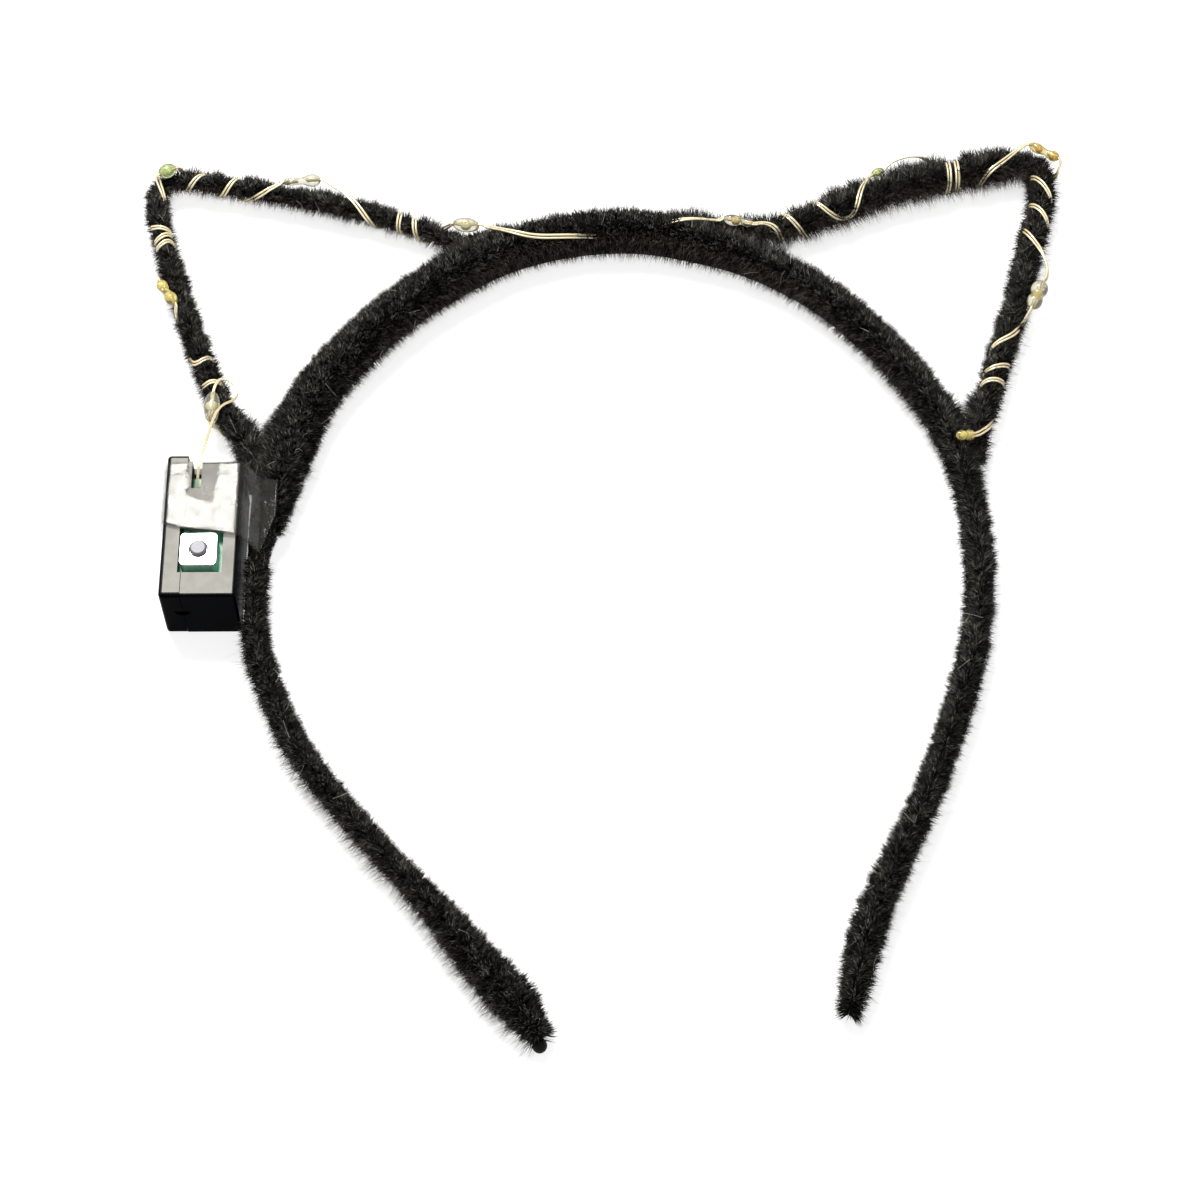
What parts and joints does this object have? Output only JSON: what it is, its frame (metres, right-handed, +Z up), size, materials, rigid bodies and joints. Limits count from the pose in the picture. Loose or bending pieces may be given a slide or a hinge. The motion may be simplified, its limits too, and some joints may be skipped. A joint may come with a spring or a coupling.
{
  "type": "light-up cat ear headband",
  "caption": "Plush-covered headband with two wire cat ears wound with a string of small lights, and a taped battery case with a push switch.",
  "frame": {"origin": "under the middle of the headband's box, on the surface that it lies on", "axes": "+Z up from the surface, +Y from the open end towards the ears, +X to the wearer's side without the battery case"},
  "size_m": [0.1696, 0.1776, 0.0141],
  "materials": {
    "plush": "short black pile",
    "nub": "smooth",
    "gold_wire": "bright enamel",
    "resin": "clear resin",
    "case_black": "glossy",
    "board_green": "varnished",
    "switch_steel": "bright",
    "button_grey": "satin",
    "clear_tape": "clear film"
  },
  "bodies": {
    "headband": {"band": "plush", "left_tip_cap": "nub", "ear_left": "plush", "ear_right": "plush", "led_bead_1": "resin", "led_bead_2": "resin", "led_bead_3": "resin", "led_bead_4": "resin", "led_bead_5": "resin", "led_bead_6": "resin", "led_bead_7": "resin", "led_bead_8": "resin", "led_bead_9": "resin", "led_bead_10": "resin", "light_wire_1": "gold_wire", "light_wire_2": "gold_wire", "light_wire_3": "gold_wire", "light_wire_4": "gold_wire", "light_wire_5": "gold_wire", "light_wire_6": "gold_wire", "light_wire_7": "gold_wire", "light_wire_8": "gold_wire", "light_wire_9": "gold_wire", "light_wire_10": "gold_wire", "case_body": "case_black", "case_cover": "case_black", "circuit_board": "board_green", "switch_body": "switch_steel", "tape": "clear_tape"},
    "button": {"switch_button": "button_grey"}
  },
  "joints": [
    {"name": "button_press", "type": "slide", "parent": "headband", "child": "button", "axis": [0, 0, -1], "range_m": [0, 0.00025], "stiffness_N_per_m": 400}
  ]
}
